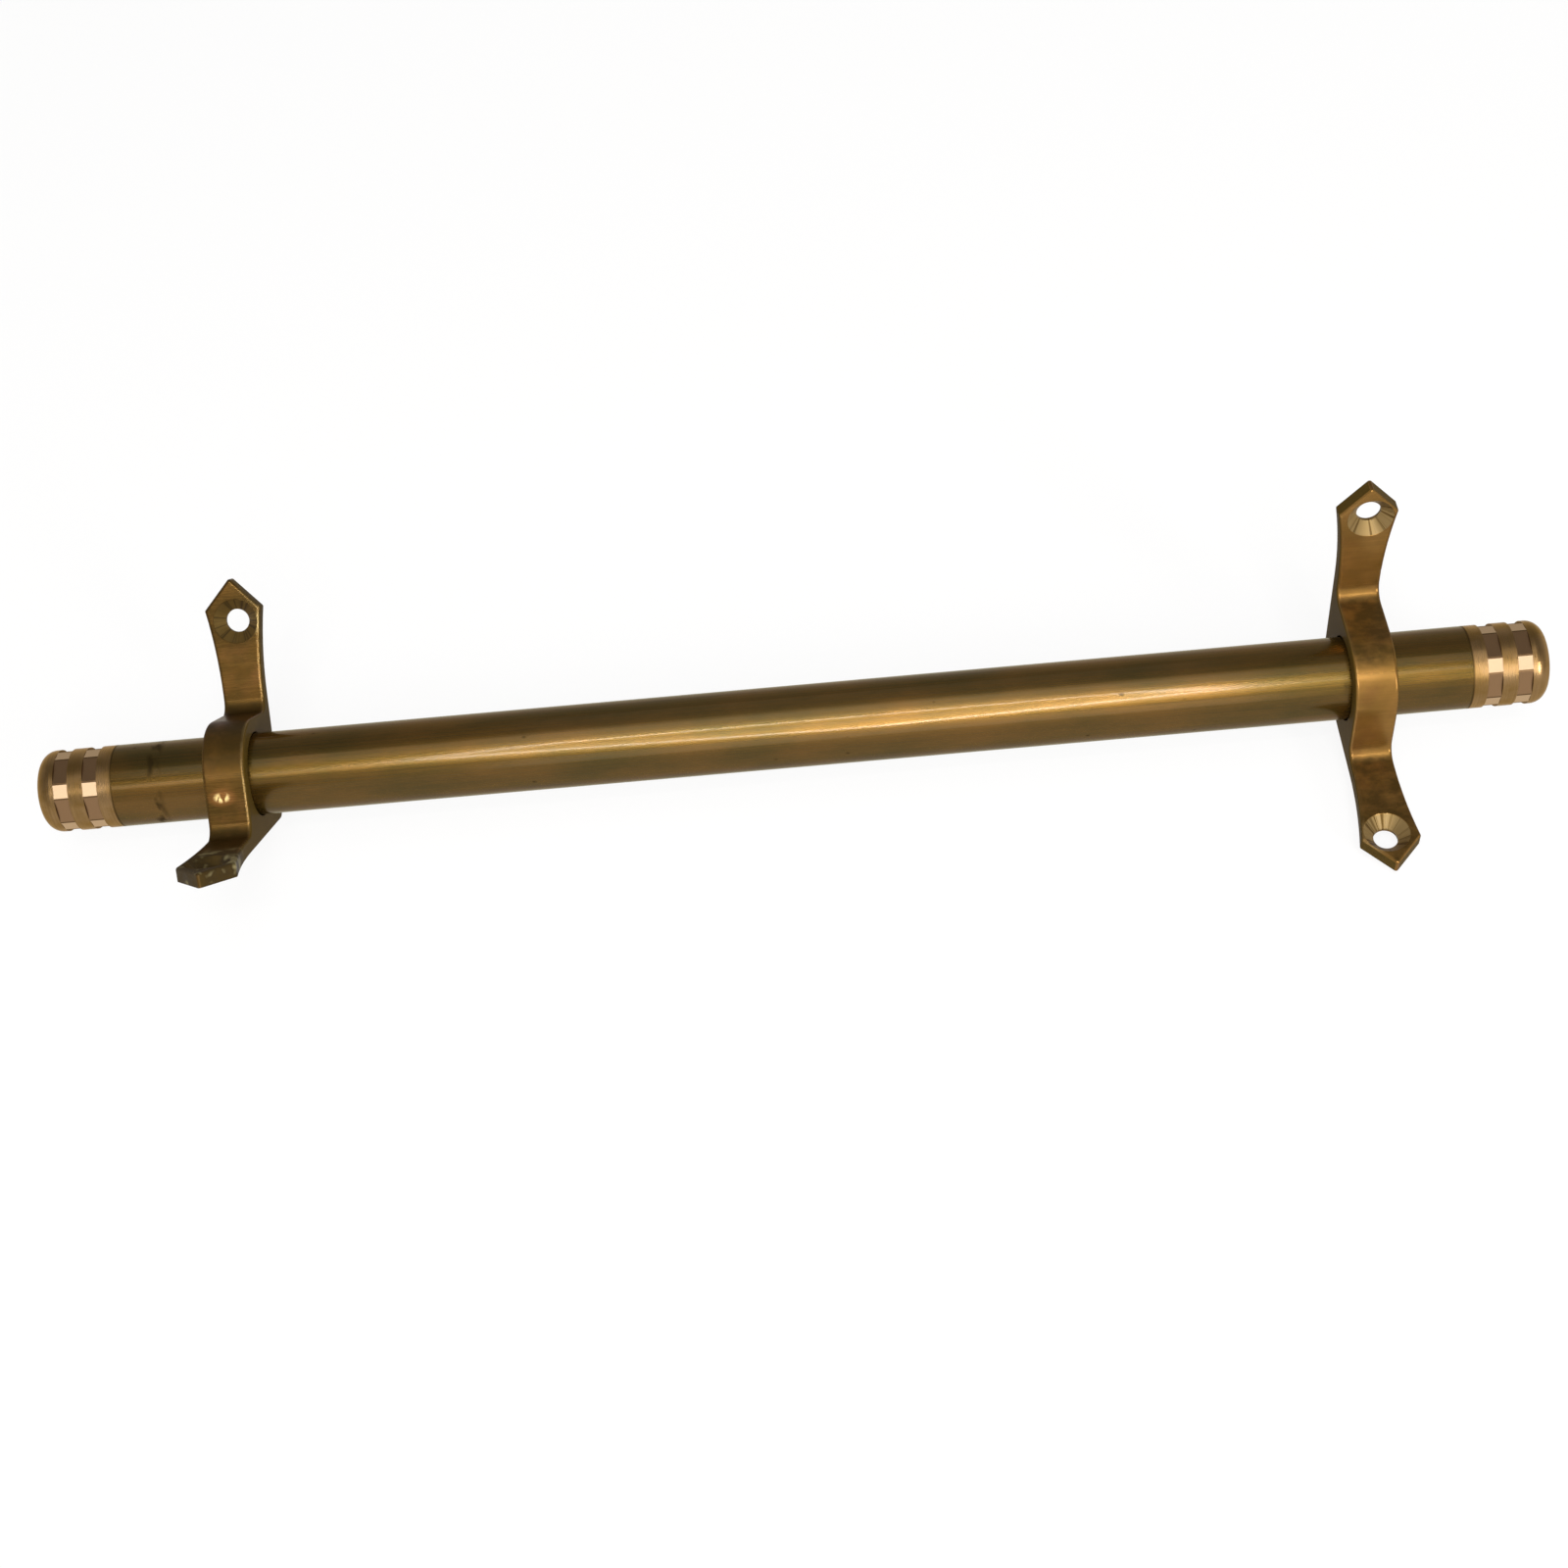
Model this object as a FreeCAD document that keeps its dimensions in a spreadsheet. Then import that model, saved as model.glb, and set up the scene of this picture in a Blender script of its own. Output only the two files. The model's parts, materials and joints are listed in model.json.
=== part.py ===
import FreeCAD, Part
import os
import Sketcher

# Stair carpet rod: a brass tube with two turned end caps, held in two cast brackets.
# X runs along the rod, Y goes back to the riser and Z points up from the tread.
# The origin is on the rod's axis, halfway along it. Lengths are in millimetres.

doc = FreeCAD.newDocument("stair_carpet_rod")

# Driving dimensions

sheet = doc.addObject("Spreadsheet::Sheet", "sizes")

SIZES = [
    # Tube
    ("rod_diameter", 16.0, "outside of the tube and of both caps"),
    ("tube_wall", 1.0, "wall of the tube"),
    ("tube_length", 261.6, "tube between the two caps"),
    # End caps
    ("cap_length", 15.0, "visible length of a cap"),
    ("cap_end_round", 3.0, "rounded outer edge of a cap"),
    ("spigot_length", 12.0, "plug of a cap inside the tube"),
    ("spigot_clearance", 0.02, "radial room of the plug in the tube"),
    ("spigot_chamfer", 0.8, "lead-in of the plug"),
    ("facet_count", 6.0, "facets of each kind around a band"),
    ("facet_bands", 2.0, "bands of facets on a cap"),
    ("facet_band_start", 2.7, "plain ring between the tube and the first band"),
    ("facet_band_width", 2.8, "width of a band along the rod"),
    ("facet_band_pitch", 5.7, "from one band to the next"),
    ("square_width", 2.6, "small square facet across the rod"),
    ("flat_depth", 0.4, "depth of the long flats between the squares"),
    ("facet_turn", 44.0, "degrees from straight up to the front square"),
    # Brackets
    ("rod_clearance", 0.3, "radial room of the rod in a bracket"),
    ("saddle_wall", 2.7, "least wall over the rod"),
    ("saddle_round_offset", 0.6, "centre of the saddle's outer round, forward and up from the rod axis"),
    ("riser_stand_off", 6.2, "rod's surface to the riser"),
    ("tread_stand_off", 4.0, "rod's surface to the tread foot's underside"),
    ("foot_splay", 4.4, "degrees by which the feet open past a right angle"),
    ("strap_width", 8.2, "saddle and foot roots along the rod"),
    ("foot_thickness", 2.8, "thickness of a foot"),
    ("bend_round", 2.6, "hollow bend between the saddle and a foot"),
    ("waist_reach", 0.9, "end of a bend to where a foot starts to widen"),
    ("shoulder_reach", 31.7, "rod axis to the shoulders of a foot"),
    ("shoulder_width", 11.2, "foot across its shoulders"),
    ("tip_reach", 37.8, "rod axis to the point of a foot"),
    ("point_round", 0.5, "rounding of shoulders and point in plan"),
    ("edge_round", 0.6, "rounding of the front edges"),
    ("back_corner_round", 2.0, "corner that sits in the stair's angle"),
    ("hole_diameter", 4.6, "screw hole"),
    ("countersink_diameter", 8.8, "mouth of the countersink"),
    ("countersink_angle", 90.0, "included angle of the countersink in degrees"),
    # Screw holes, drilled by eye: out from the rod axis, and aside from the strap's middle
    ("right_bracket_riser_hole_reach", 30.5, "rod axis to the hole"),
    ("right_bracket_riser_hole_aside", 0.5, "strap's middle to the hole"),
    ("right_bracket_tread_hole_reach", 30.5, "rod axis to the hole"),
    ("right_bracket_tread_hole_aside", -0.6, "strap's middle to the hole"),
    ("left_bracket_riser_hole_reach", 29.2, "rod axis to the hole"),
    ("left_bracket_riser_hole_aside", 0.3, "strap's middle to the hole"),
    ("left_bracket_tread_hole_reach", 29.8, "rod axis to the hole"),
    ("left_bracket_tread_hole_aside", 0.0, "strap's middle to the hole"),
    # Places on the rod
    ("right_bracket_inset", 19.1, "end of the tube to the right bracket"),
    ("left_bracket_inset", 22.9, "end of the tube to the left bracket"),
    ("left_bracket_turn", 39.2, "degrees the left bracket leans back on the rod"),
]

# Points closer than this count as the same when edges are picked
TOLERANCE = 1e-4

for row, (alias, value, note) in enumerate(SIZES, start=1):
    sheet.set(f"A{row}", alias)
    sheet.set(f"B{row}", str(value))
    sheet.set(f"C{row}", note)
    sheet.setAlias(f"B{row}", alias)
doc.recompute()


# Sketch and feature helpers

def evaluate(expression):
    """Present value of a sheet expression."""
    return float(sheet.evalExpression(expression))


def plane_of(body, role):
    return next(item for item in body.Origin.OriginFeatures if item.Role == role)


def new_sketch(body, name, role, offset=None):
    """Sketch on one of the body's own planes, moved along its normal by an expression."""
    sketch = body.newObject("Sketcher::SketchObject", name)
    sketch.AttachmentSupport = [(plane_of(body, role), "")]
    sketch.MapMode = "FlatFace"
    if offset:
        sketch.setExpression("AttachmentOffset.Base.z", offset)
    doc.recompute()
    return sketch


def bind(sketch, kind, references, expression):
    """Add a dimension and tie it to the sheet."""
    index = sketch.addConstraint(Sketcher.Constraint(kind, *references, evaluate(expression)))
    sketch.setExpression(f"Constraints[{index}]", expression)


def outline(sketch, corners):
    """Closed outline. A corner is (x, y) or (x, y, arc), as expressions.

    An arc gives the (x, y) of the centre and the sense of the arc that leaves the corner.
    """
    points = [FreeCAD.Vector(evaluate(corner[0]), evaluate(corner[1]), 0) for corner in corners]
    starts = []
    for here, corner in enumerate(corners):
        first = points[here]
        last = points[(here + 1) % len(points)]
        if len(corner) == 2:
            index = sketch.addGeometry(Part.LineSegment(first, last), False)
            starts.append((index, 1, 2))
            continue
        centre = FreeCAD.Vector(evaluate(corner[2][0]), evaluate(corner[2][1]), 0)
        counter = corner[2][2] == "counter"
        ends = (first, last) if counter else (last, first)
        angles = [FreeCAD.Vector(1, 0, 0).getAngle(end - centre) for end in ends]
        signed = [angle if (end - centre).y >= 0 else -angle for angle, end in zip(angles, ends)]
        circle = Part.Circle(centre, FreeCAD.Vector(0, 0, 1), (first - centre).Length)
        index = sketch.addGeometry(Part.ArcOfCircle(circle, *signed), False)
        starts.append((index, 1, 2) if counter else (index, 2, 1))
    for here, (index, start, end) in enumerate(starts):
        following = starts[(here + 1) % len(starts)]
        sketch.addConstraint(Sketcher.Constraint("Coincident", index, end, following[0], following[1]))
    for (index, start, end), corner in zip(starts, corners):
        bind(sketch, "DistanceX", (-1, 1, index, start), corner[0])
        bind(sketch, "DistanceY", (-1, 1, index, start), corner[1])
    for (index, start, end), corner in zip(starts, corners):
        if len(corner) == 3:
            radius = f"sqrt(({corner[0]} - ({corner[2][0]})) ^ 2 + ({corner[1]} - ({corner[2][1]})) ^ 2)"
            bind(sketch, "Radius", (index,), radius)


def circle_on(sketch, diameter):
    index = sketch.addGeometry(Part.Circle(FreeCAD.Vector(0, 0, 0), FreeCAD.Vector(0, 0, 1), 1), False)
    sketch.addConstraint(Sketcher.Constraint("Coincident", index, 3, -1, 1))
    bind(sketch, "Diameter", (index,), diameter)


def feature(body, kind, name, profile, **settings):
    """Sketch-based feature. Settings that start with an equals sign are tied to the sheet."""
    made = body.newObject(f"PartDesign::{kind}", name)
    made.Profile = profile
    for key, value in settings.items():
        if isinstance(value, str) and value.startswith("="):
            made.setExpression(key, value[1:])
        else:
            setattr(made, key, value)
    doc.recompute()


def fillet(body, name, wanted, radius):
    """Round the wanted edges of the body's present shape."""
    base = body.Tip
    edges = [f"Edge{number}" for number, edge in enumerate(base.Shape.Edges, start=1) if wanted(edge)]
    made = body.newObject("PartDesign::Fillet", name)
    made.Base = (base, edges)
    made.setExpression("Radius", radius)
    doc.recompute()


# Rod

ROD_RADIUS = "(sizes.rod_diameter / 2)"
SPIGOT_RADIUS = f"({ROD_RADIUS} - sizes.tube_wall - sizes.spigot_clearance)"
SQUARE_DEPTH = f"({ROD_RADIUS} - sqrt({ROD_RADIUS} ^ 2 - (sizes.square_width / 2) ^ 2))"
SQUARE_ARC = "asin(sizes.square_width / sizes.rod_diameter)"
FLAT_WIDTH = f"(sizes.rod_diameter * sin(180 deg / sizes.facet_count - {SQUARE_ARC}))"


def make_tube():
    body = doc.addObject("PartDesign::Body", "rod_tube")
    ring = new_sketch(body, "tube_section", "YZ_Plane")
    circle_on(ring, "sizes.rod_diameter")
    circle_on(ring, "sizes.rod_diameter - 2 * sizes.tube_wall")
    feature(body, "Pad", "tube", ring, Midplane=True, Length="=sizes.tube_length")
    return body


def make_facets(body, name, width, depth, turn):
    """One kind of facet: a flat cut into the cap, repeated around it and in each band."""
    sketch = new_sketch(body, f"{name}_cut", "YZ_Plane", "sizes.facet_band_start")
    sketch.setExpression("AttachmentOffset.Rotation.Angle", turn)
    floor = f"{ROD_RADIUS} - {depth}"
    top = "sizes.rod_diameter"
    outline(sketch, [
        (f"-{width} / 2", floor),
        (f"{width} / 2", floor),
        (f"{width} / 2", top),
        (f"-{width} / 2", top),
    ])
    feature(body, "Pocket", name, sketch, Reversed=True, Length="=sizes.facet_band_width")
    cut = body.Tip
    bands = doc.addObject("PartDesign::LinearPattern", f"{name}_bands")
    bands.Direction = (plane_of(body, "X_Axis"), [""])
    bands.setExpression("Occurrences", "sizes.facet_bands")
    bands.setExpression("Length", "sizes.facet_band_pitch * (sizes.facet_bands - 1)")
    around = doc.addObject("PartDesign::PolarPattern", f"{name}_around")
    around.Axis = (plane_of(body, "X_Axis"), [""])
    around.Angle = 360
    around.setExpression("Occurrences", "sizes.facet_count")
    pattern = body.newObject("PartDesign::MultiTransform", f"{name}_pattern")
    pattern.Originals = [cut]
    pattern.Transformations = [bands, around]
    doc.recompute()
    body.Tip = pattern
    doc.recompute()


def make_cap(name):
    """Turned cap with its seam at the body's origin, pointing along +X."""
    body = doc.addObject("PartDesign::Body", name)
    half = new_sketch(body, f"{name}_half", "XZ_Plane")
    end_centre = ("sizes.cap_length - sizes.cap_end_round", f"{ROD_RADIUS} - sizes.cap_end_round", "clock")
    outline(half, [
        ("-sizes.spigot_length", "0"),
        ("-sizes.spigot_length", f"{SPIGOT_RADIUS} - sizes.spigot_chamfer"),
        ("-sizes.spigot_length + sizes.spigot_chamfer", SPIGOT_RADIUS),
        ("0", SPIGOT_RADIUS),
        ("0", ROD_RADIUS),
        ("sizes.cap_length - sizes.cap_end_round", ROD_RADIUS, end_centre),
        ("sizes.cap_length", f"{ROD_RADIUS} - sizes.cap_end_round"),
        ("sizes.cap_length", "0"),
    ])
    feature(body, "Revolution", f"{name}_turned", half, ReferenceAxis=(half, ["H_Axis"]), Angle=360)
    make_facets(body, f"{name}_square", "sizes.square_width", SQUARE_DEPTH, "0")
    make_facets(body, f"{name}_flat", FLAT_WIDTH, "sizes.flat_depth", "180 / sizes.facet_count")
    return body


# Brackets

BORE_RADIUS = f"({ROD_RADIUS} + sizes.rod_clearance)"
SADDLE = f"({BORE_RADIUS} + sizes.saddle_wall)"
SADDLE_ROUND = f"({SADDLE} - sizes.saddle_round_offset)"
RISER_BACK = f"({ROD_RADIUS} + sizes.riser_stand_off)"
TREAD_BACK = f"({ROD_RADIUS} + sizes.tread_stand_off)"
RISER_FACE = f"({RISER_BACK} - sizes.foot_thickness)"
TREAD_FACE = f"({TREAD_BACK} - sizes.foot_thickness)"
WAIST = f"({SADDLE} + sizes.bend_round + sizes.waist_reach)"
LEAN = "sin(sizes.foot_splay)"
LEVEL = "cos(sizes.foot_splay)"
WAIST_SPREAD = "((sizes.shoulder_width - sizes.strap_width) / 2)"
WAIST_RADIUS = (f"(((sizes.shoulder_reach - {WAIST}) ^ 2 + {WAIST_SPREAD} ^ 2)"
                f" / (2 * {WAIST_SPREAD}))")
SINK_DEPTH = ("((sizes.countersink_diameter - sizes.hole_diameter) / 2"
              " / tan(sizes.countersink_angle / 2))")


def splayed(y, z):
    """A point of the tread foot, drawn level, turned about the rod with the splay of the feet."""
    return (f"(({y}) * {LEVEL} - ({z}) * {LEAN})", f"(({y}) * {LEAN} + ({z}) * {LEVEL})")


def make_saddle(body, name):
    """Side view of the saddle with the roots of both feet, drawn across the rod."""
    side = new_sketch(body, f"{name}_side", "YZ_Plane")
    bend = "sizes.bend_round"
    corner = SADDLE_ROUND
    back = "sizes.back_corner_round"
    # Heights of the two round centres that touch an upright and the splayed tread foot
    bend_height = f"(({bend} - {TREAD_FACE} - {LEAN} * ({SADDLE} + {bend})) / {LEVEL})"
    back_height = f"(({back} - {TREAD_BACK} + {LEAN} * ({RISER_BACK} - {back})) / {LEVEL})"
    riser_bend = (f"{RISER_FACE} - {bend}", f"{SADDLE} + {bend}", "clock")
    saddle_corner = (f"-{SADDLE} + {corner}", f"{SADDLE} - {corner}", "counter")
    tread_bend = (f"-{SADDLE} - {bend}", bend_height, "clock")
    back_corner = (f"{RISER_BACK} - {back}", back_height, "counter")
    outline(side, [
        (RISER_BACK, WAIST),
        (RISER_FACE, WAIST),
        (RISER_FACE, f"{SADDLE} + {bend}", riser_bend),
        (f"{RISER_FACE} - {bend}", SADDLE),
        (f"-{SADDLE} + {corner}", SADDLE, saddle_corner),
        (f"-{SADDLE}", f"{SADDLE} - {corner}"),
        (f"-{SADDLE}", bend_height, tread_bend),
        (f"-{SADDLE} - {bend} + {bend} * {LEAN}", f"{bend_height} - {bend} * {LEVEL}"),
        splayed(f"-{WAIST}", f"-{TREAD_FACE}"),
        splayed(f"-{WAIST}", f"-{TREAD_BACK}"),
        (f"{back_corner[0]} + {back} * {LEAN}", f"{back_height} - {back} * {LEVEL}", back_corner),
        (RISER_BACK, back_height),
    ])
    feature(body, "Pad", f"{name}_saddle", side, Midplane=True, Length="=sizes.strap_width")


def draw_foot(plan, way):
    """Waisted foot with a spear point in plan. The way is a sign for the side it points to."""
    root = f"{way}{WAIST}"
    shoulder = f"{way}sizes.shoulder_reach"
    centre = f"sizes.strap_width / 2 + {WAIST_RADIUS}"
    sense = "clock" if way == "" else "counter"
    outline(plan, [
        ("sizes.strap_width / 2", root, (centre, root, sense)),
        ("sizes.shoulder_width / 2", shoulder),
        ("0", f"{way}sizes.tip_reach"),
        ("-sizes.shoulder_width / 2", shoulder, (f"-({centre})", root, sense)),
        ("-sizes.strap_width / 2", root),
    ])


def make_feet(body, name):
    riser = new_sketch(body, f"{name}_riser_plan", "XZ_Plane", f"-{RISER_BACK}")
    draw_foot(riser, "")
    feature(body, "Pad", f"{name}_riser_foot", riser, Length="=sizes.foot_thickness")

    tread = new_sketch(body, f"{name}_tread_plan", "XY_Plane", f"-{TREAD_BACK} * {LEVEL}")
    tread.setExpression("AttachmentOffset.Base.y", f"{TREAD_BACK} * {LEAN}")
    tread.setExpression("AttachmentOffset.Rotation.Axis.x", "1")
    tread.setExpression("AttachmentOffset.Rotation.Axis.z", "0")
    tread.setExpression("AttachmentOffset.Rotation.Angle", "sizes.foot_splay")
    doc.recompute()
    draw_foot(tread, "-")
    feature(body, "Pad", f"{name}_tread_foot", tread, Length="=sizes.foot_thickness")


def hole_section(hole, back):
    """Half section of a countersunk hole as (out from the rod, along the foot). Its last side is the axis."""
    radius = "sizes.hole_diameter / 2"
    mouth = "sizes.countersink_diameter / 2"
    reach = f"sizes.{hole}_reach"
    face = f"{back} - sizes.foot_thickness"
    behind = f"{back} + sizes.foot_thickness"
    before = f"{face} - sizes.foot_thickness"
    return [
        (behind, reach),
        (behind, f"{reach} + {radius}"),
        (f"{face} + {SINK_DEPTH}", f"{reach} + {radius}"),
        (face, f"{reach} + {mouth}"),
        (before, f"{reach} + {mouth}"),
        (before, reach),
    ]


def make_screw_hole(body, hole, half_section):
    """Countersunk hole turned about the last side of its half section."""
    section = new_sketch(body, f"{hole}_section", "YZ_Plane", f"sizes.{hole}_aside")
    outline(section, half_section)
    axis_side = f"Edge{section.GeometryCount}"
    feature(body, "Groove", hole, section, ReferenceAxis=(section, [axis_side]), Angle=360)


def is_on(value, target):
    return abs(value - target) < TOLERANCE


def make_bracket(name):
    body = doc.addObject("PartDesign::Body", name)
    make_saddle(body, name)
    make_feet(body, name)

    saddle = evaluate(SADDLE)
    corner = evaluate(SADDLE_ROUND)
    riser_face = evaluate(RISER_FACE)
    tread_face = evaluate(TREAD_FACE)
    shoulder = evaluate("sizes.shoulder_reach")
    levelling = FreeCAD.Rotation(FreeCAD.Vector(1, 0, 0), -evaluate("sizes.foot_splay"))

    def is_point_edge(edge):
        """Short straight edges through a foot at its shoulders and its tip."""
        if len(edge.Vertexes) != 2:
            return False
        first, last = (vertex.Point for vertex in edge.Vertexes)
        if not is_on(first.x, last.x):
            return False
        if is_on(first.z, last.z) and first.z > shoulder - TOLERANCE:
            return True
        first, last = levelling.multVec(first), levelling.multVec(last)
        return is_on(first.y, last.y) and first.y < -shoulder + TOLERANCE

    fillet(body, f"{name}_points", is_point_edge, "sizes.point_round")

    def is_front(point):
        """On the strap's front: riser face, saddle top, saddle front, tread face or a bend."""
        if point.z > saddle - TOLERANCE:
            return point.y < riser_face + TOLERANCE
        if point.y < -saddle + TOLERANCE:
            return levelling.multVec(point).z > -tread_face - TOLERANCE
        return point.y < -saddle + corner and point.z > saddle - corner

    def is_front_edge(edge):
        middle = (edge.FirstParameter + edge.LastParameter) / 2
        across = abs(edge.tangentAt(middle).x) > 1 - TOLERANCE
        return is_front(edge.valueAt(middle)) and not across

    fillet(body, f"{name}_front_edges", is_front_edge, "sizes.edge_round")

    bore = new_sketch(body, f"{name}_bore_circle", "YZ_Plane")
    circle_on(bore, f"2 * {BORE_RADIUS}")
    feature(body, "Pocket", f"{name}_bore", bore, Midplane=True, Type="ThroughAll")
    riser_hole, tread_hole = f"{name}_riser_hole", f"{name}_tread_hole"
    make_screw_hole(body, riser_hole, hole_section(riser_hole, RISER_BACK))
    upright = hole_section(tread_hole, TREAD_BACK)
    make_screw_hole(body, tread_hole, [splayed(f"-({along})", f"-({out})") for out, along in upright])
    return body


# Assembly

def place(body, x, turn):
    """Put a body at x on the rod, turned about the rod by an expression in degrees."""
    body.setExpression(".Placement.Base.x", x)
    body.setExpression(".Placement.Rotation.Axis.x", "1")
    body.setExpression(".Placement.Rotation.Axis.z", "0")
    body.setExpression(".Placement.Rotation.Angle", turn)


def place_facing_back(body, x, turn):
    """As place, but pointing along -X: half a turn about a line midway between Z and the turned Z."""
    body.setExpression(".Placement.Base.x", x)
    body.setExpression(".Placement.Rotation.Axis.y", f"-sin({turn} / 2)")
    body.setExpression(".Placement.Rotation.Axis.z", f"cos({turn} / 2)")
    body.setExpression(".Placement.Rotation.Angle", "180")


rod_tube = make_tube()
right_cap = make_cap("right_end_cap")
left_cap = make_cap("left_end_cap")
right_bracket = make_bracket("right_bracket")
left_bracket = make_bracket("left_bracket")

place(right_cap, "sizes.tube_length / 2", "sizes.facet_turn")
place_facing_back(left_cap, "-sizes.tube_length / 2", "sizes.facet_turn")
place(right_bracket, "sizes.tube_length / 2 - sizes.right_bracket_inset", "0")
place(left_bracket, "sizes.left_bracket_inset - sizes.tube_length / 2", "-sizes.left_bracket_turn")

doc.recompute()
parts = [rod_tube, left_cap, right_cap, left_bracket, right_bracket]

# Every object has to be sound before anything is written

for item in doc.Objects:
    if "Invalid" in item.State or "Error" in item.State:
        raise RuntimeError(f"{item.Name} failed: {item.State}")
for body in parts:
    if body.Shape.isNull() or not body.Shape.isValid() or len(body.Shape.Solids) != 1:
        raise RuntimeError(f"{body.Label} is not one sound solid")

os.makedirs("parts", exist_ok=True)
for body in parts:
    body.Shape.exportStep(f"parts/{body.Label}.step")
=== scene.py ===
"""Stair carpet rod: a brass tube with milled end caps, in two loose cast brackets."""

import json
import math

import bpy
from mathutils import Matrix, Vector

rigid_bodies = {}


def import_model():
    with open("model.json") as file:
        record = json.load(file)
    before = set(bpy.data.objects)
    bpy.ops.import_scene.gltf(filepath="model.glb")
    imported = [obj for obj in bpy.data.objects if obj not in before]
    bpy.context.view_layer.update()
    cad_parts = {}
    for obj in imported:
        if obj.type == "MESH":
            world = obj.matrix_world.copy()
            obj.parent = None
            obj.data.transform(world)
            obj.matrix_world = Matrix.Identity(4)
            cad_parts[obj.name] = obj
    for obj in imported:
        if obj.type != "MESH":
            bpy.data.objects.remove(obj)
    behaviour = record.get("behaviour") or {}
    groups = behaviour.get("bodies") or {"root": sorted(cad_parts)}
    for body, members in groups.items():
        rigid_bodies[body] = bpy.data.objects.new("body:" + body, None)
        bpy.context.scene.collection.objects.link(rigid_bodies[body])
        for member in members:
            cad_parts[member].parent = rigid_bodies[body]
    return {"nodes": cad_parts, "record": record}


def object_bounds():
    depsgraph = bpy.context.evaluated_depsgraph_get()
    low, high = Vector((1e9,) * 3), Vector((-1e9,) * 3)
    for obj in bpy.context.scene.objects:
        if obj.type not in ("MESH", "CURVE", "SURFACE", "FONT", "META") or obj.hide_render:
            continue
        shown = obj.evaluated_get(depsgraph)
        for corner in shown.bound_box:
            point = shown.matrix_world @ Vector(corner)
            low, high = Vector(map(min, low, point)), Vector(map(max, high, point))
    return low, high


for leftover in list(bpy.data.objects):
    bpy.data.objects.remove(leftover)

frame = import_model()
cad_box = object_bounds()

MM = 0.001


# ---------------------------------------------------------------- helpers

# The sockets of a Mix node, by their place in it: the share of what lies over, then what lies
# under and over it as a number, a vector or a colour; last, where each kind comes out.
SHARE = 0
UNDER_NUMBER, OVER_NUMBER = 2, 3
UNDER_VECTOR, OVER_VECTOR = 4, 5
UNDER_COLOUR, OVER_COLOUR = 6, 7
MIXED_NUMBER, MIXED_VECTOR, MIXED_COLOUR = 0, 1, 2


def linear(hex_colour):
    """An sRGB hex colour as linear RGBA."""
    parts = [int(hex_colour[i:i + 2], 16) / 255 for i in (0, 2, 4)]
    return [c / 12.92 if c <= 0.04045 else ((c + 0.055) / 1.055) ** 2.4 for c in parts] + [1.0]


def per_mm(x, y, z):
    """A Mapping scale that gives a pattern of scale 1 features of these sizes in millimetres."""
    return 1 / (x * MM), 1 / (y * MM), 1 / (z * MM)


def add(tree, kind, inputs=(), **settings):
    """Adds a node, gives it its settings, and fills its inputs with values or links."""
    node = tree.nodes.new("ShaderNode" + kind)
    for name, value in settings.items():
        setattr(node, name, value)
    for key, value in dict(inputs).items():
        if isinstance(value, bpy.types.NodeSocket):
            tree.links.new(value, node.inputs[key])
        else:
            node.inputs[key].default_value = value
    return node


def new_material(name):
    """A material without nodes, and its node tree."""
    material = bpy.data.materials.new(name)
    material.use_nodes = True
    material.node_tree.nodes.clear()
    return material, material.node_tree


# ---------------------------------------------------------------- drawn tube

# Old brass stays brown where it is seen edge on; the cleaner caps turn paler there.
OLD_BRASS_RIM = "C4B884"
CAST_BRASS_RIM = "A08C50"
CLEAN_BRASS_RIM = "EEDDC4"

TUBE_OLIVE = "443814"
TUBE_BROWN = "62461B"
TUBE_LINE = "6C4E22"
TUBE_DIRT = "2A2010"
TUBE_HALF_LENGTH = 130.8 * MM

# Real polishing lines are finer than 0.1 mm; drawn wider, so that some can be told apart.
DRAW_LINE_SIZE = per_mm(70, 0.6, 0.6)
TUBE_CLOUD_SIZE = per_mm(26, 9, 9)
SPECK_SPACING = per_mm(6, 4, 4)
SPECKLESS_SHARE = 0.55

SMUDGE_PLACE = -122.4 * MM
SMUDGE_CORE = 0.4 * MM
SMUDGE_REACH = 2.0 * MM
SMUDGE_BLOT_SIZE = per_mm(2.5, 3.5, 3.5)

# Grime in the seam between tube and cap, from where it is thickest to where it ends.
TUBE_SEAM_THICK = 0.05 * MM
TUBE_SEAM_END = 0.35 * MM
TUBE_DIRT_ROUGHNESS = 0.5
LACQUER = 0.28


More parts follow.
